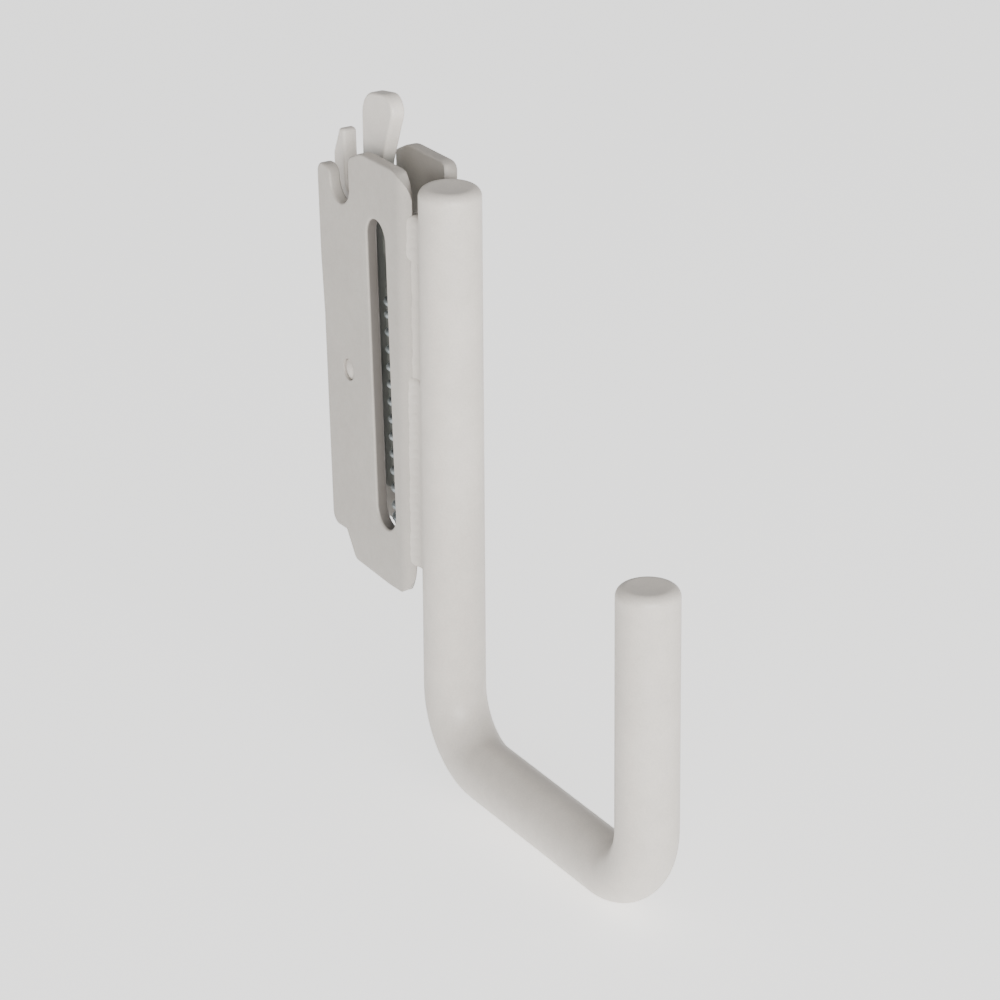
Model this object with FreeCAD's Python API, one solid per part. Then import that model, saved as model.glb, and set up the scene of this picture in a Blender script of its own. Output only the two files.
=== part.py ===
import FreeCAD, Part
import math
import os
from FreeCAD import Vector

# Hook that clips into one slot of a slotted steel rail and carries things on a bent rod.
# Millimetres. X runs across the fitting, +Y points at the wall, +Z is up.
# The origin is the centre of the rail slot, in the plane of the rail's outer face.

# The rail slot that the fitting is made for
slot_height = 60.3
rail_sheet = 2.7

# Folded channel: two cheeks joined by a narrow web with a bend at either side
body_width = 10.4
body_sheet = 2.0
bend_outside = 3.0
tenon_depth = 5.0
tenon_relief = 0.5
tenon_corner = 2.0
tenon_headroom = 0.15
prong_width = 4.2
prong_corner = 1.8
notch_width = 6.3
notch_depth = 5.2
cheek_rise = 4.7
cheek_top_slope = 1.9
cheek_top_run = 4.2
cheek_top_corner = 1.2
cheek_front_corner = 4.9
cheek_drop = 4.2
cheek_foot_slope = 0.7
shoulder_run = 2.8
shoulder_corner = 1.6
foot_front_corner = 4.5
web_gap_turn = 30.0
corner_run_out = 0.25
web_gap_top_inset = 2.55
web_gap_foot_inset = -0.1
sheet_edge_round = 0.35

# Long oval windows that the spring shows through
window_width = 6.2
window_foot_inset = 4.45
window_top_inset = 4.95
window_setback = 13.9

# J-shaped rod, welded to the front of the web
rod_diameter = 9.78
rod_lean = 2.75
rod_setback = 27.5
shank_overhang = 3.45
shank_drop = 29.95
hook_reach = 59.1
tip_rise = 50.3
bend_radius = 11.0
rod_end_round = 0.85

# Weld beads in the groove between rod and web
bead_radius = 1.7
bead_offset = 3.0
bead_stand = 0.45
bead_length = 27.0
bead_inset = 3.2
tack_length = 4.4
tack_inset = 3.75

# Latch plate that slides between the cheeks
latch_sheet = 2.4
latch_travel = 6.0
sheet_play = 0.5
nose_width = 3.7
nose_bite = 4.5
nose_ramp = 2.2
nose_corner = 0.6
toe_bite = 4.3
toe_corner = 1.2
gate_floor = 5.6
gate_corner = 2.2
tab_setback = 2.65
tab_slant = 0.7
tab_neck = 6.4
tab_head = 12.4
tab_height = 14.3
tab_crown = 1.8
tab_back_corner = 4.5
tab_front_corner = 2.5
neck_corner = 6.0
neck_height = 1.6
arm_front = 17.6
arm_inset = 17.65
arm_height = 4.5
spine_front = 9.0
spine_back = 3.8
spine_inset = 8.55
hook_root = 3.6
inner_corner = 1.2
outer_corner = 1.6
latch_edge_round = 0.45

# Cross pin that guides and stops the latch plate
pin_diameter = 3.5
pin_setback = 3.1
pin_level = -2.3
pin_recess = 0.35
pin_fit = 0.02
pin_slot_play = 0.3

# Compression spring under the latch plate's arm
wire_diameter = 1.1
spring_bulge = 0.5
active_turns = 12
spring_play = 0.12

# Worked out from the sizes above
slot_half = slot_height / 2
seat_z = -slot_half
body_half = body_width / 2
inner_half = body_half - body_sheet
rod_radius = rod_diameter / 2
bend_side = body_half - bend_outside
bend_depth = rod_radius + bend_outside
bend_run = bend_outside * math.radians(90 - web_gap_turn)
cheek_top = slot_half + cheek_rise
cheek_foot = seat_z - cheek_drop
web_gap_top = slot_half - web_gap_top_inset
web_gap_foot = seat_z + web_gap_foot_inset
window_top = slot_half - window_top_inset
window_foot = seat_z + window_foot_inset
shank_top = slot_half + shank_overhang
run_level = seat_z - shank_drop
tip_top = run_level + tip_rise
tack_top = slot_half - tack_inset
bead_foot = seat_z + bead_inset
arm_base = slot_half - arm_inset
spine_foot = seat_z + spine_inset
spring_radius = inner_half + spring_bulge
nose_front = rail_sheet + sheet_play
nose_back = nose_front + nose_width
oversize = 10.0


def lean(shape):
    """Tips a shape made about a vertical rod axis to the rod's real lean and place."""
    shape.rotate(Vector(0, 0, 0), Vector(1, 0, 0), rod_lean)
    shape.translate(Vector(0, -rod_setback, 0))
    return shape


def corner_points(before, corner, after, radius):
    """Start, middle and end of the arc that rounds one corner of an outline."""
    to_before = (before - corner).normalize()
    to_after = (after - corner).normalize()
    half = to_before.getAngle(to_after) / 2
    inward = (to_before + to_after).normalize()
    reach = radius / math.tan(half)
    middle = corner + inward * (radius / math.sin(half) - radius)
    return corner + to_before * reach, middle, corner + to_after * reach


def side_plate(corners, thickness):
    """Flat plate in the YZ plane, centred on X = 0; each corner is (y, z, radius)."""
    spots = [Vector(0, y, z) for y, z, radius in corners]
    arcs = []
    for index, (y, z, radius) in enumerate(corners):
        following = spots[(index + 1) % len(spots)]
        arcs.append(corner_points(spots[index - 1], spots[index], following, radius))
    edges = []
    for index, (start, middle, end) in enumerate(arcs):
        edges.append(Part.LineSegment(arcs[index - 1][2], start).toShape())
        edges.append(Part.Arc(start, middle, end).toShape())
    face = Part.Face(Part.Wire(edges))
    plate = face.extrude(Vector(thickness, 0, 0))
    plate.translate(Vector(-thickness / 2, 0, 0))
    return plate


def upright_oval(y, low, high, width, thickness):
    """Solid with an upright oval outline, rounded over its whole width at both ends."""
    radius = width / 2
    straight = Part.makeBox(thickness, width, high - low - width,
                            Vector(-thickness / 2, y - radius, low + radius))
    shape = straight
    for z in (low + radius, high - radius):
        end = Part.makeCylinder(radius, thickness, Vector(-thickness / 2, y, z), Vector(1, 0, 0))
        shape = shape.fuse(end)
    return shape.removeSplitter()


def outline_edges(shape, offset):
    """Edges in the planes X = offset and X = -offset, less the lines where a bend begins."""
    found = []
    for edge in shape.Edges:
        box = edge.BoundBox
        bend_line = abs(edge.tangentAt(edge.FirstParameter).y) - math.sin(math.radians(rod_lean))
        if box.XLength < 1e-6 and abs(abs(box.XMin) - offset) < 1e-6 and abs(bend_line) > 1e-6:
            found.append(edge)
    return found


def cheek_outline():
    """Side view of the fitting's body, seen along X."""
    back = tenon_depth
    prong_front = tenon_depth - prong_width
    notch_front = prong_front - notch_width
    notch_foot = slot_half - notch_depth
    prong_top = slot_half - tenon_headroom
    front = -rod_setback - oversize
    return [
        (back - tenon_relief, seat_z, tenon_corner),
        (back - tenon_relief, slot_height / 12, notch_width),
        (back, slot_height / 4, notch_width),
        (back, prong_top, prong_corner),
        (prong_front, prong_top, prong_corner),
        (prong_front, notch_foot, notch_width / 2 - 0.01),
        (notch_front, notch_foot, notch_width / 2 - 0.01),
        (notch_front, cheek_top - cheek_top_slope, cheek_top_corner),
        (notch_front - cheek_top_run, cheek_top, notch_width),
        (front, cheek_top, oversize / 4),
        (front, cheek_foot - cheek_foot_slope, oversize / 4),
        (-window_setback, cheek_foot - cheek_foot_slope, shoulder_corner),
        (-shoulder_run, cheek_foot, shoulder_corner),
        (0, seat_z, 0.3),
    ]


def arc_about(x, y, radius, start, end):
    """Arc of the U-section about (x, y), from one angle to the other in degrees."""
    points = []
    for angle in (start, (start + end) / 2, end):
        turn = math.radians(angle)
        points.append(Vector(x + radius * math.cos(turn), y + radius * math.sin(turn), 0))
    return Part.Arc(*points)


def bent_blank():
    """U-section of the sheet, long enough to be trimmed to the side view."""
    back = rod_setback + tenon_depth + oversize
    inside = bend_outside - body_sheet
    inner_face = rod_radius + body_sheet
    edges = [
        Part.LineSegment(Vector(-body_half, back, 0), Vector(-body_half, bend_depth, 0)),
        arc_about(-bend_side, bend_depth, bend_outside, 180, 270),
        Part.LineSegment(Vector(-bend_side, rod_radius, 0), Vector(bend_side, rod_radius, 0)),
        arc_about(bend_side, bend_depth, bend_outside, 270, 360),
        Part.LineSegment(Vector(body_half, bend_depth, 0), Vector(body_half, back, 0)),
        Part.LineSegment(Vector(body_half, back, 0), Vector(inner_half, back, 0)),
        Part.LineSegment(Vector(inner_half, back, 0), Vector(inner_half, bend_depth, 0)),
        arc_about(bend_side, bend_depth, inside, 360, 270),
        Part.LineSegment(Vector(bend_side, inner_face, 0), Vector(-bend_side, inner_face, 0)),
        arc_about(-bend_side, bend_depth, inside, 270, 180),
        Part.LineSegment(Vector(-inner_half, bend_depth, 0), Vector(-inner_half, back, 0)),
        Part.LineSegment(Vector(-inner_half, back, 0), Vector(-body_half, back, 0)),
    ]
    face = Part.Face(Part.Wire([edge.toShape() for edge in edges]))
    face.translate(Vector(0, 0, -slot_height))
    return lean(face.extrude(Vector(0, 0, 2 * slot_height)))


def bent_sheet_point(run, offset, level, side):
    """Point at a distance round the bend from the gap's edge, off the sheet's outer face."""
    turn = math.radians(web_gap_turn) + min(run, bend_run) / bend_outside
    radius = bend_outside + offset
    x = bend_side + radius * math.sin(turn)
    y = bend_depth - radius * math.cos(turn) + max(run - bend_run, 0)
    return Vector(side * x, y, level)


def front_corner(z, sign, radius, side):
    """Solid that rounds one front corner square to the bent sheet; sign is +1 at the top."""
    depth = bend_depth + max(radius - bend_run, 0)
    top = (z - depth * math.sin(math.radians(rod_lean))) / math.cos(math.radians(rod_lean))
    out = corner_run_out
    places = [(-2 * out, -out), (-1.5 * out, -out)]
    for step in range(7):
        turn = math.radians(15 * step)
        places.append((out * (math.sin(turn) - 1), -out * math.cos(turn)))
    for step in range(1, 13):
        turn = math.radians(7.5 * step)
        places.append((radius * (1 - math.cos(turn)), radius * math.sin(turn)))
    runs = [0]
    for before, after in zip(places, places[1:]):
        runs.append(runs[-1] + math.dist(before, after))
    curves = []
    for offset in (oversize / 20, -(bend_outside + body_sheet) / 2):
        points = []
        for run, rise in places:
            points.append(bent_sheet_point(run - out / 10, offset, top + sign * (rise - radius), side))
        curve = Part.BSplineCurve()
        curve.interpolate(Points=points, Parameters=[run / runs[-1] for run in runs])
        curves.append(curve.toShape())
    cut_face = Part.makeRuledSurface(curves[0], curves[1])
    return lean(cut_face.extrude(Vector(0, 0, sign * oversize)))


def web_gap(low, high):
    """Wedge that opens the web between two heights, its sides square to the bent sheet."""
    turn = math.radians(web_gap_turn)
    side = bend_side + oversize * math.sin(turn)
    depth = bend_depth - oversize * math.cos(turn)
    corners = [Vector(-bend_side, bend_depth, low), Vector(bend_side, bend_depth, low),
               Vector(side, depth, low), Vector(-side, depth, low)]
    face = Part.Face(Part.makePolygon(corners + corners[:1]))
    return lean(face.extrude(Vector(0, 0, high - low)))


def channel_body():
    """Bent sheet body: prongs, rail notch, seat, windows, pin holes and the open web ends."""
    body = bent_blank().common(side_plate(cheek_outline(), body_width + oversize))
    body = body.cut(upright_oval(-window_setback, window_foot, window_top, window_width, 2 * oversize))
    rims = outline_edges(body, body_half) + outline_edges(body, inner_half)
    body = body.makeFillet(sheet_edge_round, rims)
    for side in (-1, 1):
        body = body.cut(front_corner(cheek_top, 1, cheek_front_corner, side))
        body = body.cut(front_corner(cheek_foot - cheek_foot_slope, -1, foot_front_corner, side))
    body = body.cut(web_gap(web_gap_top, cheek_top + oversize))
    body = body.cut(web_gap(cheek_foot - oversize, web_gap_foot))
    hole = Part.makeCylinder(pin_diameter / 2 + pin_fit, 2 * oversize,
                             Vector(-oversize, -pin_setback, pin_level), Vector(1, 0, 0))
    return body.cut(hole)


def rod_path():
    """Centre line of the rod: shank, lower run and upturned tip, joined by two bends."""
    head = Vector(0, 0, shank_top)
    heel = Vector(0, 0, run_level)
    toe = Vector(0, -hook_reach, run_level)
    tip = Vector(0, -hook_reach, tip_top)
    first = corner_points(head, heel, toe, bend_radius)
    second = corner_points(heel, toe, tip, bend_radius)
    return Part.Wire([
        Part.LineSegment(head, first[0]).toShape(),
        Part.Arc(*first).toShape(),
        Part.LineSegment(first[2], second[0]).toShape(),
        Part.Arc(*second).toShape(),
        Part.LineSegment(second[2], tip).toShape(),
    ])


def hook_rod():
    """Round bar bent to a J, with both cropped ends rounded over."""
    section = Part.Wire(Part.makeCircle(rod_radius, Vector(0, 0, shank_top), Vector(0, 0, 1)))
    rod = rod_path().makePipeShell([section], True, True)
    rims = [edge for edge in rod.Edges
            if isinstance(edge.Curve, Part.Circle) and abs(edge.Curve.Radius - rod_radius) < 1e-6
            and edge.BoundBox.ZLength < 1e-6
            and min(abs(edge.BoundBox.ZMin - shank_top), abs(edge.BoundBox.ZMin - tip_top)) < 1e-6]
    return lean(rod.makeFillet(rod_end_round, rims))


def bead(top, foot, side):
    """Round-ended bar of weld metal laid in the groove on one side of the rod."""
    place = Vector(side * bead_offset, rod_radius - bead_stand, foot)
    bar = Part.makeCylinder(bead_radius, top - foot, place, Vector(0, 0, 1))
    for z in (foot, top):
        bar = bar.fuse(Part.makeSphere(bead_radius, Vector(place.x, place.y, z)))
    return lean(bar)


def welds(top, foot, body, rod):
    """The same weld on both sides of the rod, seated on the rod and on the web."""
    beads = []
    for side in (-1, 1):
        shape = bead(top, foot, side).cut(body).cut(rod)
        beads.append(max(shape.Solids, key=lambda solid: solid.Volume))
    return Part.makeCompound(beads)


def latch_outline():
    """Side view of the latch plate: nose, rail gate, thumb tab, spring arm, spine and toe."""
    nose_top = slot_half + nose_bite
    toe_foot = seat_z - toe_bite
    gate = slot_half - gate_floor
    tab_top = slot_half + tab_height
    neck_z = slot_half + neck_height
    return [
        (nose_front, nose_top, nose_corner),
        (nose_front, gate, gate_corner),
        (-tab_setback, gate, gate_corner),
        (-tab_setback - tab_slant, tab_top - tab_crown, tab_back_corner),
        (-tab_setback - tab_head, tab_top, tab_front_corner),
        (-tab_setback - tab_neck, neck_z, neck_corner),
        (-spine_front, arm_base + arm_height, inner_corner),
        (-arm_front, arm_base + arm_height, outer_corner),
        (-arm_front, arm_base, inner_corner),
        (-spine_front, arm_base, inner_corner),
        (-spine_front, spine_foot, outer_corner),
        (nose_front, spine_foot, inner_corner),
        (nose_front, toe_foot, nose_corner),
        (nose_back, toe_foot, toe_corner),
        (nose_back, spine_foot - hook_root, outer_corner),
        (spine_back, spine_foot, outer_corner),
        (spine_back, gate - hook_root, outer_corner),
        (nose_back, gate, outer_corner),
        (nose_back, nose_top - 2 * nose_ramp, outer_corner),
        (nose_back - nose_ramp, nose_top, nose_corner),
    ]


def latch_plate():
    """Stamped latch plate with its thumb tab and the slot that the cross pin runs in."""
    plate = side_plate(latch_outline(), latch_sheet)
    slot_width = pin_diameter + 2 * pin_slot_play
    slot = upright_oval(-pin_setback, pin_level - slot_width / 2,
                        pin_level + latch_travel + slot_width / 2, slot_width, latch_sheet + oversize)
    plate = plate.cut(slot)
    return plate.makeFillet(latch_edge_round, outline_edges(plate, latch_sheet / 2))


def latch_pin():
    """Pin pressed through both cheeks, its ends just below their faces."""
    length = body_width - 2 * pin_recess
    return Part.makeCylinder(pin_diameter / 2, length,
                             Vector(-length / 2, -pin_setback, pin_level), Vector(1, 0, 0))


def spring_seat():
    """Height of the lowest coil's centre, where its sides bear on the windows' round ends."""
    bite = math.sqrt(spring_radius ** 2 - inner_half ** 2)
    radius = window_width / 2
    return window_foot + radius - math.sqrt(radius ** 2 - bite ** 2) + spring_play


def latch_spring():
    """Compression spring with one closed turn at each end."""
    radius = spring_radius - wire_diameter / 2
    closed_pitch = wire_diameter * 1.06
    start = spring_seat()
    end = arm_base - spring_play - wire_diameter / 2
    active = end - start - 2 * closed_pitch
    edges = []
    level = start
    for pitch, height in ((closed_pitch, closed_pitch), (active / active_turns, active),
                          (closed_pitch, closed_pitch)):
        turns = Part.makeHelix(pitch, height, radius)
        turns.translate(Vector(0, 0, level))
        edges.extend(turns.Edges)
        level += height
    rise = math.atan2(closed_pitch, 2 * math.pi * radius)
    section = Part.Wire(Part.makeCircle(wire_diameter / 2, Vector(radius, 0, start),
                                        Vector(0, math.cos(rise), math.sin(rise))))
    spring = Part.Wire(edges).makePipeShell([section], True, True)
    spring.translate(Vector(0, -window_setback, 0))
    return spring


def main():
    os.makedirs("parts", exist_ok=True)
    body = channel_body()
    rod = hook_rod()
    pieces = {
        "channel_body": body,
        "hook_rod": rod,
        "weld_beads": welds(bead_foot + bead_length, bead_foot, body, rod),
        "weld_tacks": welds(tack_top, tack_top - tack_length, body, rod),
        "latch_plate": latch_plate(),
        "latch_pin": latch_pin(),
        "latch_spring": latch_spring(),
    }
    for name, shape in pieces.items():
        print(name, shape.isValid(), len(shape.Solids), round(shape.Volume, 1))
        shape.exportStep("parts/" + name + ".step")


main()
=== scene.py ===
import math
import bpy
import numpy as np
from mathutils import Matrix, Vector


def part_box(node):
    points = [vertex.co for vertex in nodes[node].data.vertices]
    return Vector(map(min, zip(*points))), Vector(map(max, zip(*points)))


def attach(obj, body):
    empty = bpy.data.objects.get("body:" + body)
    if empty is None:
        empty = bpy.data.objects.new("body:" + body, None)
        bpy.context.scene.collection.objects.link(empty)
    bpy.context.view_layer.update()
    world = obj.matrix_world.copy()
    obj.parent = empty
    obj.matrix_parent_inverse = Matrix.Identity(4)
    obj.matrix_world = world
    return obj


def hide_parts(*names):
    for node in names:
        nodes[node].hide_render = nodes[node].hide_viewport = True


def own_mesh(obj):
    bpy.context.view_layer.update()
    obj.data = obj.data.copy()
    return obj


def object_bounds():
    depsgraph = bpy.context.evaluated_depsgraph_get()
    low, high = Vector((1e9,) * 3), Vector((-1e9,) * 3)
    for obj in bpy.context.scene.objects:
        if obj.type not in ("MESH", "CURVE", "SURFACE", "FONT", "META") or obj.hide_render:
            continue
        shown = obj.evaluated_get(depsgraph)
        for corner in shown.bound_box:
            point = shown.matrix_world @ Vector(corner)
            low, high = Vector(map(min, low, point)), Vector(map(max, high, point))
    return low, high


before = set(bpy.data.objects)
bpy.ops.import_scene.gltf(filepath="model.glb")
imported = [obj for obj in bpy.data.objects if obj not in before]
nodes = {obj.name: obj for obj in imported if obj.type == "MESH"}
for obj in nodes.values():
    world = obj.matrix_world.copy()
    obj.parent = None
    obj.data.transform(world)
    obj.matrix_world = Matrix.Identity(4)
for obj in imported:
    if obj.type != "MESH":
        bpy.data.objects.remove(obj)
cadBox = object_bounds()
mm = 0.001
print("frame loaded:", ", ".join(sorted(nodes)))


def hexToLinear(hexColour):
    # sRGB hex to the linear values that the shader wants
    parts = [int(hexColour[i:i + 2], 16) / 255 for i in (1, 3, 5)]
    return tuple(p / 12.92 if p <= 0.04045 else ((p + 0.055) / 1.055) ** 2.4 for p in parts) + (1.0,)


def addNode(tree, kind, settings=None, inputs=None):
    # one node: settings are its own properties, inputs are socket values or links from other sockets
    node = tree.nodes.new(kind)
    for name, value in (settings or {}).items():
        setattr(node, name, value)
    for name, value in (inputs or {}).items():
        if isinstance(value, bpy.types.NodeSocket):
            tree.links.new(value, node.inputs[name])
        else:
            node.inputs[name].default_value = value
    return node


def newMaterial(name):
    # an empty node tree, and the place on the piece that its patterns are measured from
    material = bpy.data.materials.new(name)
    material.use_nodes = True
    material.node_tree.nodes.clear()
    return material, material.node_tree, addNode(material.node_tree, "ShaderNodeTexCoord").outputs["Object"]


# Polyester powder coat on steel, sprayed dry and baked. It gives the eye a soft satin light grey with a faint
# orange peel. The cut walls of the windows, the inside of the channel and the latch plate between the cheeks
# get painted shade, lighter towards the channel's open top.
powderCoat = {
    "driftMm": 16.0,
    "driftTone": 0.95,
    "mottleMm": 2.6,
    "peelMm": 1.2,
    "peelDepthMm": 0.02,
    "grainMm": 0.3,          # real powder grain is about 0.05 mm, drawn coarser so that it shows
    "grainDepthMm": 0.004,
    "roughness": 0.4,
    "softEdgeMm": 0.3,       # the coat flows round over a sharp edge
    # painted shade: the channel's sheet is drawn darker than the bar, though both carry the same coat
    "sheet": "#B2ACA4",
    "bar": "#CFC8BF",
    "plate": "#DCD5CC",
    # painted shade on the cut walls of the windows
    "windowWallPaintedShade": "#6C6762",
    # painted shade inside the channel, between the cheeks
    "channelPaintedShade": "#8E8A84",
    # painted shade on the latch plate between the cheeks
    "platePaintedShade": "#7A7C77",
    "insideMm": (3.25, 3.6),      # half width between the cheeks, and where the painted shade inside the channel ends
    "openTopMm": (24.0, 33.0),    # the height where the painted shade inside the channel begins to lighten towards the open top
    "openTopShadeLeft": 0.3,           # how much of the painted shade is left above that
    "windowMm": (-13.9, 3.3),     # middle of the windows, and half of their width
    "windowHeightMm": (-26.0, 25.6),
    "wallFadeMm": (4.7, 5.1),     # the painted shade on a window's wall fades out from here to its rim
    "plateMm": (-1.5, 0.5),       # the painted shade on the latch plate lies in front of the first and is gone behind the second
    # the painted shade at the tab's base fades out between these heights
    "plateTopMm": (31.5, 35.5),
}


def channelTone(tree, place, coat):
    # Painted shade between the cheeks, a little lighter towards the open top, and painted shade on the walls
    # of the windows.
    # Worked out from the distance to the mid-plane, the height, and the distance to the windows' middle.
    xyz = addNode(tree, "ShaderNodeSeparateXYZ", None, {"Vector": place}).outputs
    off = addNode(tree, "ShaderNodeMath", {"operation": "ABSOLUTE"}, {0: xyz["X"]}).outputs[0]
    inside = addNode(tree, "ShaderNodeMapRange", {"interpolation_type": "SMOOTHSTEP"}, {
        "Value": off, "From Min": powderCoat["insideMm"][0] * mm,
        "From Max": powderCoat["insideMm"][1] * mm, "To Min": 1.0, "To Max": 0.0}).outputs["Result"]
    deep = addNode(tree, "ShaderNodeMapRange", {"interpolation_type": "SMOOTHSTEP"}, {
        "Value": xyz["Z"], "From Min": powderCoat["openTopMm"][0] * mm,
        "From Max": powderCoat["openTopMm"][1] * mm,
        "To Min": 1.0, "To Max": powderCoat["openTopShadeLeft"]}).outputs["Result"]
    paintedShade = addNode(tree, "ShaderNodeMath", {"operation": "MULTIPLY"}, {0: inside, 1: deep}).outputs[0]
    across = addNode(tree, "ShaderNodeMath", {"operation": "SUBTRACT"}, {
        0: xyz["Y"], 1: powderCoat["windowMm"][0] * mm}).outputs[0]
    near = addNode(tree, "ShaderNodeMath", {"operation": "ABSOLUTE"}, {0: across}).outputs[0]
    wall = addNode(tree, "ShaderNodeMath", {"operation": "LESS_THAN"}, {
        0: near, 1: powderCoat["windowMm"][1] * mm}).outputs[0]
    depth = addNode(tree, "ShaderNodeMapRange", {"interpolation_type": "SMOOTHSTEP"}, {
        "Value": off, "From Min": powderCoat["wallFadeMm"][0] * mm,
        "From Max": powderCoat["wallFadeMm"][1] * mm, "To Min": 1.0, "To Max": 0.0}).outputs["Result"]
    low = addNode(tree, "ShaderNodeMath", {"operation": "GREATER_THAN"}, {
        0: xyz["Z"], 1: powderCoat["windowHeightMm"][0] * mm}).outputs[0]
    high = addNode(tree, "ShaderNodeMath", {"operation": "LESS_THAN"}, {
        0: xyz["Z"], 1: powderCoat["windowHeightMm"][1] * mm}).outputs[0]
    between = addNode(tree, "ShaderNodeMath", {"operation": "MULTIPLY"}, {0: low, 1: high}).outputs[0]
    onWall = addNode(tree, "ShaderNodeMath", {"operation": "MULTIPLY"}, {0: wall, 1: depth}).outputs[0]
    window = addNode(tree, "ShaderNodeMath", {"operation": "MULTIPLY"}, {0: onWall, 1: between}).outputs[0]
    # painted shade on the walls of the windows
    withWall = addNode(tree, "ShaderNodeMix", {"data_type": "RGBA"}, {
        0: window, 6: coat, 7: hexToLinear(powderCoat["windowWallPaintedShade"])}).outputs[2]
    # painted shade inside the channel, lighter towards its open top
    return addNode(tree, "ShaderNodeMix", {"data_type": "RGBA"}, {
        0: paintedShade, 6: withWall, 7: hexToLinear(powderCoat["channelPaintedShade"])}).outputs[2]


def plateTone(tree, place, coat):
    # painted shade where the plate runs between the cheeks and at the tab's base, the plain coat on the tab
    # above them and on the nose behind
    xyz = addNode(tree, "ShaderNodeSeparateXYZ", None, {"Vector": place}).outputs
    front = addNode(tree, "ShaderNodeMapRange", {"interpolation_type": "SMOOTHSTEP"}, {
        "Value": xyz["Y"], "From Min": powderCoat["plateMm"][0] * mm,
        "From Max": powderCoat["plateMm"][1] * mm, "To Min": 1.0, "To Max": 0.0}).outputs["Result"]
    below = addNode(tree, "ShaderNodeMapRange", {"interpolation_type": "SMOOTHSTEP"}, {
        "Value": xyz["Z"], "From Min": powderCoat["plateTopMm"][0] * mm,
        "From Max": powderCoat["plateTopMm"][1] * mm, "To Min": 1.0, "To Max": 0.0}).outputs["Result"]
    paintedShade = addNode(tree, "ShaderNodeMath", {"operation": "MULTIPLY"}, {0: front, 1: below}).outputs[0]
    return addNode(tree, "ShaderNodeMix", {"data_type": "RGBA"}, {
        0: paintedShade, 6: coat, 7: hexToLinear(powderCoat["platePaintedShade"])}).outputs[2]


def makePowderCoat(name, hexColour, toneOver=None):
    material, tree, place = newMaterial(name)
    full = hexToLinear(hexColour)
    cloud = addNode(tree, "ShaderNodeTexNoise", None, {
        "Vector": place, "Scale": 1 / (powderCoat["driftMm"] * mm), "Detail": 2.0}).outputs["Fac"]
    drift = addNode(tree, "ShaderNodeMapRange", {"interpolation_type": "SMOOTHSTEP"}, {
        "Value": cloud, "From Min": 0.36, "From Max": 0.64}).outputs["Result"]
    colour = addNode(tree, "ShaderNodeMix", {"data_type": "RGBA"}, {
        0: drift, 6: full, 7: tuple(c * powderCoat["driftTone"] for c in full[:3]) + (1.0,)}).outputs[2]
    mottle = addNode(tree, "ShaderNodeTexNoise", None, {
        "Vector": place, "Scale": 1 / (powderCoat["mottleMm"] * mm),
        "Detail": 3.0, "Roughness": 0.55}).outputs["Fac"]
    grain = addNode(tree, "ShaderNodeTexNoise", None, {
        "Vector": place, "Scale": 1 / (powderCoat["grainMm"] * mm), "Detail": 1.0}).outputs["Fac"]
    patch = addNode(tree, "ShaderNodeMapRange", None, {
        "Value": mottle, "From Min": 0.3, "From Max": 0.7, "To Min": 0.96, "To Max": 1.02}).outputs["Result"]
    speck = addNode(tree, "ShaderNodeMapRange", None, {
        "Value": grain, "From Min": 0.3, "From Max": 0.7, "To Min": 0.95, "To Max": 1.02}).outputs["Result"]
    shade = addNode(tree, "ShaderNodeMath", {"operation": "MULTIPLY"}, {0: patch, 1: speck}).outputs[0]
    coloured = addNode(tree, "ShaderNodeVectorMath", {"operation": "SCALE"}, {
        0: colour, "Scale": shade}).outputs[0]
    if toneOver is not None:
        coloured = toneOver(tree, place, coloured)
    peel = addNode(tree, "ShaderNodeTexNoise", None, {
        "Vector": place, "Scale": 1 / (powderCoat["peelMm"] * mm),
        "Detail": 1.5, "Roughness": 0.45}).outputs["Fac"]
    roughness = addNode(tree, "ShaderNodeMapRange", None, {
        "Value": peel, "From Min": 0.3, "From Max": 0.7, "To Min": powderCoat["roughness"] - 0.05,
        "To Max": powderCoat["roughness"] + 0.06}).outputs["Result"]
    edge = addNode(tree, "ShaderNodeBevel", {"samples": 6}, {
        "Radius": powderCoat["softEdgeMm"] * mm}).outputs[0]
    fine = addNode(tree, "ShaderNodeBump", None, {
        "Strength": 1.0, "Distance": powderCoat["grainDepthMm"] * mm,
        "Height": grain, "Normal": edge}).outputs[0]
    bump = addNode(tree, "ShaderNodeBump", None, {
        "Strength": 1.0, "Distance": powderCoat["peelDepthMm"] * mm,
        "Height": peel, "Normal": fine}).outputs[0]
    shader = addNode(tree, "ShaderNodeBsdfPrincipled", None, {
        "Base Color": coloured, "Roughness": roughness, "Normal": bump})
    addNode(tree, "ShaderNodeOutputMaterial", None, {"Surface": shader.outputs[0]})
    return material


sheetCoat = makePowderCoat("powderCoatSheetSteel", powderCoat["sheet"], channelTone)
barCoat = makePowderCoat("powderCoatSteelBar", powderCoat["bar"])
plateCoat = makePowderCoat("powderCoatLatchPlate", powderCoat["plate"], plateTone)
for nodeName, material in (("channel_body", sheetCoat), ("latch_plate", plateCoat)):
    nodes[nodeName].data.materials.clear()
    nodes[nodeName].data.materials.append(material)
print("powder coat on the channel and latch plate")


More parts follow.
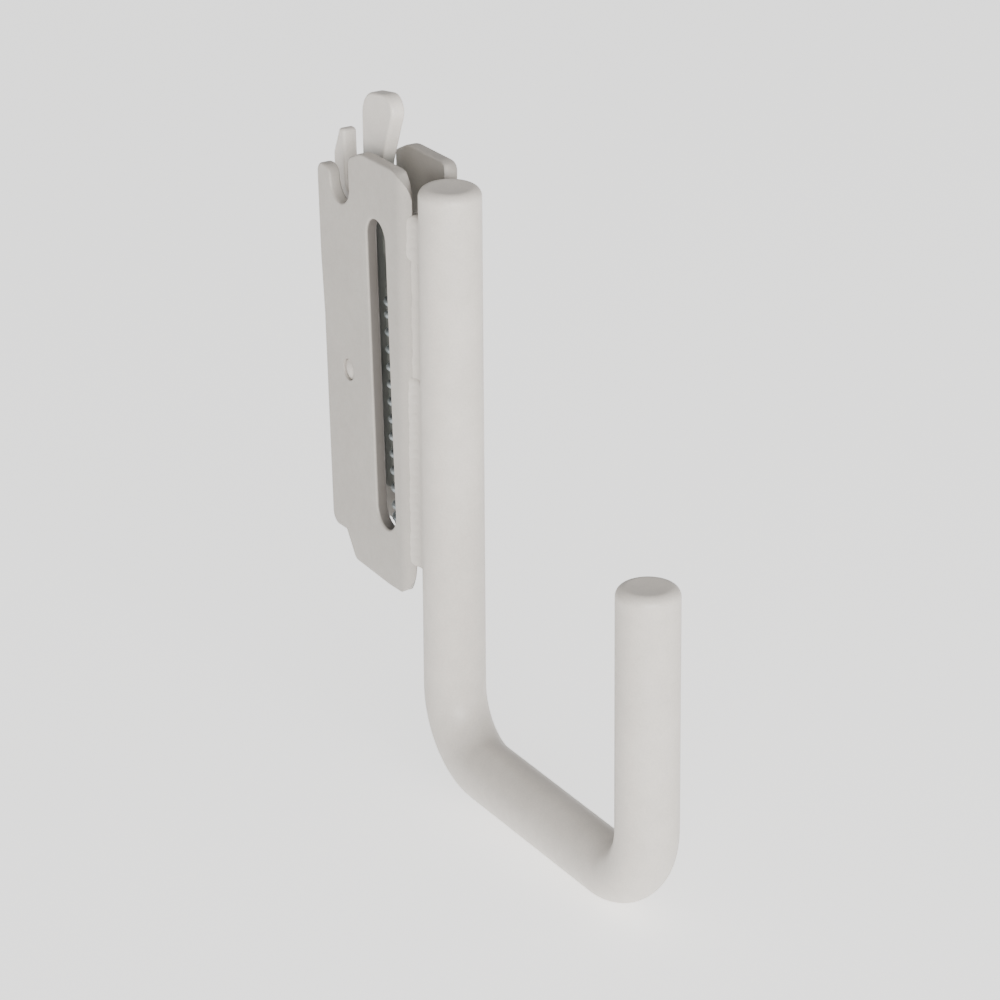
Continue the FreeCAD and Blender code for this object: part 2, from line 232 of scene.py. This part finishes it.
def meshFromGrid(name, points, material):
    # points is rows x columns x 3; columns close on themselves, and each end row is closed with a pole
    rows, columns = points.shape[:2]
    index = np.arange(rows * columns).reshape(rows, columns)
    here, nextRow = index[:-1], index[1:]
    quads = np.stack([here, np.roll(here, -1, axis=1), np.roll(nextRow, -1, axis=1), nextRow], axis=-1)
    vertices = np.vstack([points.reshape(-1, 3), points[0].mean(axis=0), points[-1].mean(axis=0)])
    low, high = rows * columns, rows * columns + 1
    first, last = index[0], index[-1]
    faces = quads.reshape(-1, 4).tolist()
    faces += np.stack([np.full(columns, low), np.roll(first, -1), first], axis=-1).tolist()
    faces += np.stack([np.full(columns, high), last, np.roll(last, -1)], axis=-1).tolist()
    mesh = bpy.data.meshes.new(name)
    mesh.from_pydata(vertices.tolist(), [], faces)
    mesh.validate()
    mesh.shade_smooth()
    mesh.materials.append(material)
    piece = bpy.data.objects.new(name, mesh)
    bpy.context.scene.collection.objects.link(piece)
    return piece


# The rod: plain round bar, cropped to length, its ends rounded over, then bent cold to a J
rod = {
    "shankTopMm": 33.6,
    "runLevelMm": -60.1,
    "reachMm": 59.1,
    "tipTopMm": -9.8,
    "bendMm": 11.0,
    "setbackMm": 27.5,
    "leanDegrees": 2.75,
    "endRoundMm": 1.55,
    "endHollowMm": 0.12,     # the cropped face is a little hollow
    "pinch": 0.035,          # how much the bar flattens in the plane of a bend
    "spread": 0.004,
    "stepMm": 0.5,
    "columns": 72,
    "discRows": 10,
    "rimRows": 13,
}


def leaned(x, v, w):
    # from the rod's own upright frame (across, towards the channel, up) to its real place, in metres
    tilt = math.radians(rod["leanDegrees"])
    y = v * math.cos(tilt) - w * math.sin(tilt) - rod["setbackMm"]
    z = v * math.sin(tilt) + w * math.cos(tilt)
    return np.stack([x, y, z], axis=-1) * mm


def makeRod():
    # A circle carried along a line, a quarter arc, a line, a quarter arc and a line: how far along each
    # stretch a section lies is the run clipped to that stretch. The circle shrinks along a quarter arc at
    # both ends, the end faces are shallow hollow discs, and in the bends it flattens by the sine of twice
    # the turn.
    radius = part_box("hook_rod")[1][0] / mm
    bend = rod["bendMm"]
    shank = rod["shankTopMm"] - rod["runLevelMm"] - bend
    arc = math.pi / 2 * bend
    lower = rod["reachMm"] - 2 * bend
    tip = rod["tipTopMm"] - rod["runLevelMm"] - bend
    total = shank + lower + tip + 2 * arc
    rim = rod["endRoundMm"]
    disc = np.linspace(0.04, 1, rod["discRows"])
    turn = np.linspace(0, math.pi / 2, rod["rimRows"] + 1)[1:]
    middle = np.linspace(rim, total - rim, int(total / rod["stepMm"]))[1:-1]
    endRun = np.concatenate([rod["endHollowMm"] * (1 - disc ** 2), rim - rim * np.cos(turn)])
    endRadius = np.concatenate([disc * (radius - rim), radius - rim + rim * np.sin(turn)])
    run = np.concatenate([endRun, middle, total - endRun[::-1]])
    size = np.concatenate([endRadius, np.full(middle.size, radius), endRadius[::-1]])
    onShank = np.clip(run, 0, shank)
    first = np.clip((run - shank) / bend, 0, math.pi / 2)
    onLower = np.clip(run - shank - arc, 0, lower)
    second = np.clip((run - shank - arc - lower) / bend, 0, math.pi / 2)
    onTip = np.maximum(run - shank - 2 * arc - lower, 0)
    v = -bend * (1 - np.cos(first)) - onLower - bend * np.sin(second)
    w = rod["shankTopMm"] - onShank - bend * np.sin(first) + bend * (1 - np.cos(second)) + onTip
    turned = first + second
    flat = np.sin(2 * first) + np.sin(2 * second)
    around = np.linspace(2 * math.pi, 0, rod["columns"], endpoint=False)    # this way round faces outward
    across = (size * (1 + rod["spread"] * flat))[:, None] * np.cos(around)[None, :]
    inPlane = (size * (1 - rod["pinch"] * flat))[:, None] * np.sin(around)[None, :]
    return meshFromGrid("hookRod", leaned(across, v[:, None] + inPlane * np.cos(turned)[:, None],
                                          w[:, None] - inPlane * np.sin(turned)[:, None]), barCoat)


hookRod = makeRod()
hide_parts("hook_rod")
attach(hookRod, "body")
print("rod made")

# Cross pin, pressed in before coating: its ends are crowned, with a rounded rim
pin = {
    "crownMm": 0.3,
    "rimMm": 0.3,
    "columns": 48,
    "rows": 10,              # on the crown, and one less round the rim
}


def makePin():
    # A profile turned about the X axis. The end face is a shallow parabola, the rim a quarter circle.
    low, high = (np.array(corner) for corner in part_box("latch_pin"))
    middle = (low + high) / 2
    half, radius = (high[0] - low[0]) / 2, (high[2] - low[2]) / 2
    crown, rim = pin["crownMm"] * mm, pin["rimMm"] * mm
    flat = np.linspace(0.05, 1, pin["rows"]) * (radius - rim)
    turn = np.linspace(0, math.pi / 2, pin["rows"])[1:]
    out = np.concatenate([flat, radius - rim + rim * np.sin(turn)])
    along = np.concatenate([half + crown * (1 - (flat / (radius - rim)) ** 2),
                            half - rim + rim * np.cos(turn)])
    profileX = np.concatenate([-along, along[::-1]])
    profileR = np.concatenate([out, out[::-1]])
    around = np.linspace(0, 2 * math.pi, pin["columns"], endpoint=False)
    x = np.repeat(profileX[:, None], pin["columns"], axis=1)
    y = profileR[:, None] * np.cos(around)[None, :]
    z = profileR[:, None] * np.sin(around)[None, :]
    return meshFromGrid("crossPin", np.stack([x, y, z], axis=-1) + middle, barCoat)


crossPin = makePin()
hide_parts("latch_pin")
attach(crossPin, "body")
print("cross pin made")

# Spring steel wire, drawn, coiled and bright zinc plated: it gives the eye a cool bluish grey metal, broken
# up by duller clouds and fine marks
springWire = {
    "colour": "#B4BCBE",
    "dull": "#868F92",
    "roughness": 0.4,
    "cloudMm": 1.6,
    "streakMm": 0.35,
    "streakDepthMm": 0.004,
}


def makeZincPlate(name, values):
    material, tree, place = newMaterial(name)
    cloud = addNode(tree, "ShaderNodeTexNoise", None, {
        "Vector": place, "Scale": 1 / (values["cloudMm"] * mm), "Detail": 3.0}).outputs["Fac"]
    share = addNode(tree, "ShaderNodeMapRange", {"interpolation_type": "SMOOTHSTEP"}, {
        "Value": cloud, "From Min": 0.35, "From Max": 0.7}).outputs["Result"]
    colour = addNode(tree, "ShaderNodeMix", {"data_type": "RGBA"}, {
        0: share, 6: hexToLinear(values["colour"]), 7: hexToLinear(values["dull"])}).outputs[2]
    streak = addNode(tree, "ShaderNodeTexNoise", None, {
        "Vector": place, "Scale": 1 / (values["streakMm"] * mm), "Detail": 2.0}).outputs["Fac"]
    roughness = addNode(tree, "ShaderNodeMapRange", None, {
        "Value": streak, "From Min": 0.3, "From Max": 0.7,
        "To Min": values["roughness"] - 0.06, "To Max": values["roughness"] + 0.12}).outputs["Result"]
    bump = addNode(tree, "ShaderNodeBump", None, {
        "Strength": 0.6, "Distance": values["streakDepthMm"] * mm, "Height": streak}).outputs["Normal"]
    shader = addNode(tree, "ShaderNodeBsdfPrincipled", None, {
        "Base Color": colour, "Roughness": roughness, "Normal": bump, "Metallic": 1.0})
    addNode(tree, "ShaderNodeOutputMaterial", None, {"Surface": shader.outputs[0]})
    return material


coil = {
    "wireMm": 1.1,
    "closedTurns": 1.0,       # at each end
    "openTurns": 12.0,
    "pointsPerTurn": 48,
    "pointsRound": 14,
    "closedPitch": 1.05,      # rise of a closed turn, in wire diameters
    "easePoints": 12,         # the pitch changes over this many points each way
    "latchTravelMm": 6.0,
}


def makeCoil():
    # A helix about an upright axis: the angle grows evenly and the height follows it, slowly over the closed
    # end turns and fast over the open ones; the wire is a circle carried square to that path.
    low, high = (np.array(corner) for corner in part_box("latch_spring"))
    wire = coil["wireMm"] * mm / 2
    centre = (low + high) / 2
    radius = (high[0] - low[0]) / 2 - wire
    turns = 2 * coil["closedTurns"] + coil["openTurns"]
    turn = np.linspace(0, turns, int(turns * coil["pointsPerTurn"]) + 1)
    closedRise = 2 * wire * coil["closedPitch"]
    openRise = (high[2] - low[2] - 2 * wire - 2 * coil["closedTurns"] * closedRise) / coil["openTurns"]
    knots = [0, coil["closedTurns"], turns - coil["closedTurns"], turns]
    heights = np.cumsum([0, coil["closedTurns"] * closedRise, coil["openTurns"] * openRise,
                         coil["closedTurns"] * closedRise])
    height = np.interp(turn, knots, heights)
    ease = coil["easePoints"]
    window = np.hanning(2 * ease + 1)
    padded = np.pad(height, ease, mode="reflect", reflect_type="odd")
    height = np.convolve(padded, window / window.sum(), mode="valid")
    angle = 2 * math.pi * turn
    path = np.stack([centre[0] + radius * np.cos(angle), centre[1] + radius * np.sin(angle),
                     low[2] + wire + height], axis=-1)
    along = np.gradient(path, axis=0)
    along /= np.linalg.norm(along, axis=1, keepdims=True)
    out = np.stack([np.cos(angle), np.sin(angle), np.zeros_like(angle)], axis=-1)
    up = np.cross(along, out)
    around = np.linspace(0, 2 * math.pi, coil["pointsRound"], endpoint=False)
    ring = np.cos(around)[None, :, None] * out[:, None, :] + np.sin(around)[None, :, None] * up[:, None, :]
    return meshFromGrid("latchCoil", path[:, None, :] + wire * ring,
                        makeZincPlate("zincPlatedSpringSteel", springWire))


latchCoil = makeCoil()
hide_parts("latch_spring")
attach(latchCoil, "body")
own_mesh(latchCoil)
print("coil made")

# Fillet welds under the coat, one long bead and one tack in the groove on each side of the rod. Between them
# the powder has bridged what is left of the groove.
weld = {
    "foldRadiusMm": 3.0,         # outside radius of the channel's bend, and its centre off the mid-plane
    "foldCentreMm": 2.2,
    "onRodDegrees": (34.0, 62.0),    # where the weld meets the rod, from its back, at no size and at full
    "onFoldDegrees": (12.0, 55.0),   # where it meets the bend, from the front of the channel
    "hollow": 0.55,
    "sinkMm": 0.06,
    "ripplePitchMm": 1.5,
    "rippleMm": 0.07,
    "rippleLagMm": 1.1,          # how far a crescent trails behind at the weld's edges
    "wander": (0.04, 0.03),      # slow and quick changes of the size
    "stepMm": 0.12,
    "facePoints": 22,
    "backPoints": 8,
    "endMm": 1.4,
    "beadMm": (-30.5, 1.75),
    "tackMm": (20.3, 28.1),
    "bridgeMm": (-0.6, 22.4),
    "bridgeSize": 0.62,
}


def makeFillet(name, side, span, size, ripple, seed):
    # The section has two edges, one on the rod's circle and one on the bend's. Its face is a curve between
    # them that is pulled in towards the root of the groove, and a second curve closes it at the back. The
    # section shrinks along a quarter circle at both ends, and low crescents ride on its face.
    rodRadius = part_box("hook_rod")[1][0] / mm
    rows = int((span[1] - span[0]) / weld["stepMm"])
    even = np.linspace(0, 1, rows)
    along = span[0] + (span[1] - span[0]) * (0.3 * (0.5 - 0.5 * np.cos(math.pi * even)) + 0.7 * even)
    fromEnd = np.clip(np.minimum(along - span[0], span[1] - along) / weld["endMm"], 0, 1)
    slow, quick = weld["wander"]
    wander = slow * np.sin(along * 0.8 + seed * 5) + quick * np.sin(along * 2.1 + seed * 3)
    grow = (size * (1 + wander) * np.sqrt(1 - (1 - fromEnd) ** 2))[:, None]
    rodLow, rodHigh = np.radians(weld["onRodDegrees"])
    foldLow, foldHigh = np.radians(weld["onFoldDegrees"])
    onRod = rodLow + (rodHigh - rodLow) * grow
    onFold = foldLow + (foldHigh - foldLow) * grow
    sunkRod, sunkFold = rodRadius - weld["sinkMm"], weld["foldRadiusMm"] - weld["sinkMm"]
    foldV = rodRadius + weld["foldRadiusMm"]
    rodX, rodV = sunkRod * np.sin(onRod), sunkRod * np.cos(onRod)
    foldX, endV = weld["foldCentreMm"] + sunkFold * np.sin(onFold), foldV - sunkFold * np.cos(onFold)
    pullX = (rodX + foldX) / 2 - 2 * weld["hollow"] * grow
    pullV = (rodV + endV) / 2
    t = np.linspace(0, 1, weld["facePoints"])[None, :]
    lag = weld["rippleLagMm"] * (2 * t - 1) ** 2
    crescent = np.abs(np.sin(math.pi * (along[:, None] + lag + seed) / weld["ripplePitchMm"])) ** 0.8
    lift = ripple * crescent * np.sin(math.pi * t) * grow
    faceX = (1 - t) ** 2 * rodX + 2 * t * (1 - t) * pullX + t ** 2 * foldX + lift
    faceV = (1 - t) ** 2 * rodV + 2 * t * (1 - t) * pullV + t ** 2 * endV
    back = np.linspace(0, 1, weld["backPoints"] + 2)[None, 1:-1]
    backX = (1 - back) ** 2 * foldX + 2 * back * (1 - back) * weld["foldCentreMm"] + back ** 2 * rodX
    backV = (1 - back) ** 2 * endV + 2 * back * (1 - back) * rodRadius + back ** 2 * rodV
    x = np.concatenate([faceX, backX], axis=1)
    v = np.concatenate([faceV, backV], axis=1)
    w = np.repeat(along[:, None], x.shape[1], axis=1)
    if side < 0:
        x, v = -x[:, ::-1], v[:, ::-1]
    return meshFromGrid(name, leaned(x, v, w), barCoat)


for side, hand in ((-1, "Left"), (1, "Right")):
    bead = makeFillet("weldBead" + hand, side, weld["beadMm"], 1.0, weld["rippleMm"], 0.37 * side)
    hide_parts("weld_beads")
    tack = makeFillet("weldTack" + hand, side, weld["tackMm"], 1.0, weld["rippleMm"], 0.61 * side)
    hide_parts("weld_tacks")
    bridge = makeFillet("coatBridge" + hand, side, weld["bridgeMm"], weld["bridgeSize"], 0.0, 0.19 * side)
    for piece, slot in ((bead, "coated_weld"), (tack, "coated_weld"), (bridge, "powder_coat")):
        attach(piece, "body")
print("welds made")

# The room: a plain pale floor that glows a little, like a light table, one long soft light low in front,
# a little to the left, a weak one on the right, and a dim even sky
studio = {
    "floorColour": "#F3F2EF",
    "floorDropMm": 1.0,
    "floorHalfMetres": 3.0,
    "floorCloudMm": 170.0,
    "floorFibreMm": 1.0,     # real paper fibre is about 0.03 mm wide, drawn coarser so that it shows
    "floorGlow": 1.25,
    "aim": (0.0, -0.04, -0.01),
    "keyWatts": 21.5,
    "keyPlace": (-0.343, -1.163, 0.24),
    "keySize": (0.9, 0.45),
    "fillWatts": 1.4,
    "fillPlace": (1.0, -0.7, 0.25),
    "fillSize": (0.6, 0.45),
    "skyColour": "#FFFFFF",
    "skyStrength": 0.5,
}


def makeFloor():
    # matt white sheet: it gives the eye an even pale ground, with hardly a fibre to see in it
    half = studio["floorHalfMetres"]
    z = float(cadBox[0][2]) - studio["floorDropMm"] * mm
    mesh = bpy.data.meshes.new("floor")
    corners = [(-half, -half, z), (half, -half, z), (half, half, z), (-half, half, z)]
    mesh.from_pydata(corners, [], [(0, 1, 2, 3)])
    material, tree, place = newMaterial("mattWhiteSheet")
    cloud = addNode(tree, "ShaderNodeTexNoise", None, {
        "Vector": place, "Scale": 1 / (studio["floorCloudMm"] * mm), "Detail": 2.0}).outputs["Fac"]
    base = hexToLinear(studio["floorColour"])
    colour = addNode(tree, "ShaderNodeMix", {"data_type": "RGBA"}, {
        0: cloud, 6: base, 7: tuple(c * 0.985 for c in base[:3]) + (1.0,)}).outputs[2]
    fibre = addNode(tree, "ShaderNodeTexNoise", None, {
        "Vector": place, "Scale": 1 / (studio["floorFibreMm"] * mm)}).outputs["Fac"]
    bump = addNode(tree, "ShaderNodeBump", None, {
        "Strength": 0.2, "Distance": 0.02 * mm, "Height": fibre}).outputs["Normal"]
    shader = addNode(tree, "ShaderNodeBsdfPrincipled", None, {
        "Base Color": colour, "Roughness": 0.95, "Specular IOR Level": 0.1, "Normal": bump,
        "Emission Color": (1.0, 1.0, 1.0, 1.0), "Emission Strength": studio["floorGlow"]})
    addNode(tree, "ShaderNodeOutputMaterial", None, {"Surface": shader.outputs[0]})
    mesh.materials.append(material)
    floor = bpy.data.objects.new("floor", mesh)
    bpy.context.scene.collection.objects.link(floor)


def softLight(name, place, watts, size):
    light = bpy.data.lights.new(name, "AREA")
    light.energy = watts
    light.shape = "RECTANGLE"
    light.size, light.size_y = size
    lamp = bpy.data.objects.new(name, light)
    lamp.location = place
    aim = Vector(studio["aim"]) - Vector(place)
    lamp.rotation_euler = aim.to_track_quat("-Z", "Y").to_euler()
    bpy.context.scene.collection.objects.link(lamp)


makeFloor()
softLight("keyLight", studio["keyPlace"], studio["keyWatts"], studio["keySize"])
softLight("fillLight", studio["fillPlace"], studio["fillWatts"], studio["fillSize"])
sky = bpy.data.worlds.new("evenSky")
sky.use_nodes = True
sky.node_tree.nodes["Background"].inputs["Color"].default_value = hexToLinear(studio["skyColour"])
sky.node_tree.nodes["Background"].inputs["Strength"].default_value = studio["skyStrength"]
bpy.context.scene.world = sky

# The camera stands where the photograph was taken from, turned to the hook with a longer lens
view = {
    "place": (-0.37884, -0.73680, 0.28582),
    "lookAt": (0.0, -0.0418, -0.0131),
    "up": (0.18349, 0.27039, 0.94510),
    "lensMm": 200.0,
    "sensorMm": 36.0,
}


def makeCamera():
    camera = bpy.data.cameras.new("photoCamera")
    camera.lens = view["lensMm"]
    camera.sensor_width = view["sensorMm"]
    camera.clip_start = 0.01
    holder = bpy.data.objects.new("photoCamera", camera)
    forward = (Vector(view["lookAt"]) - Vector(view["place"])).normalized()
    right = forward.cross(Vector(view["up"])).normalized()
    up = right.cross(forward)
    turn = Matrix((right, up, -forward)).transposed()
    holder.matrix_world = Matrix.Translation(Vector(view["place"])) @ turn.to_4x4()
    bpy.context.scene.collection.objects.link(holder)
    bpy.context.scene.camera = holder


makeCamera()
print("studio and camera made")
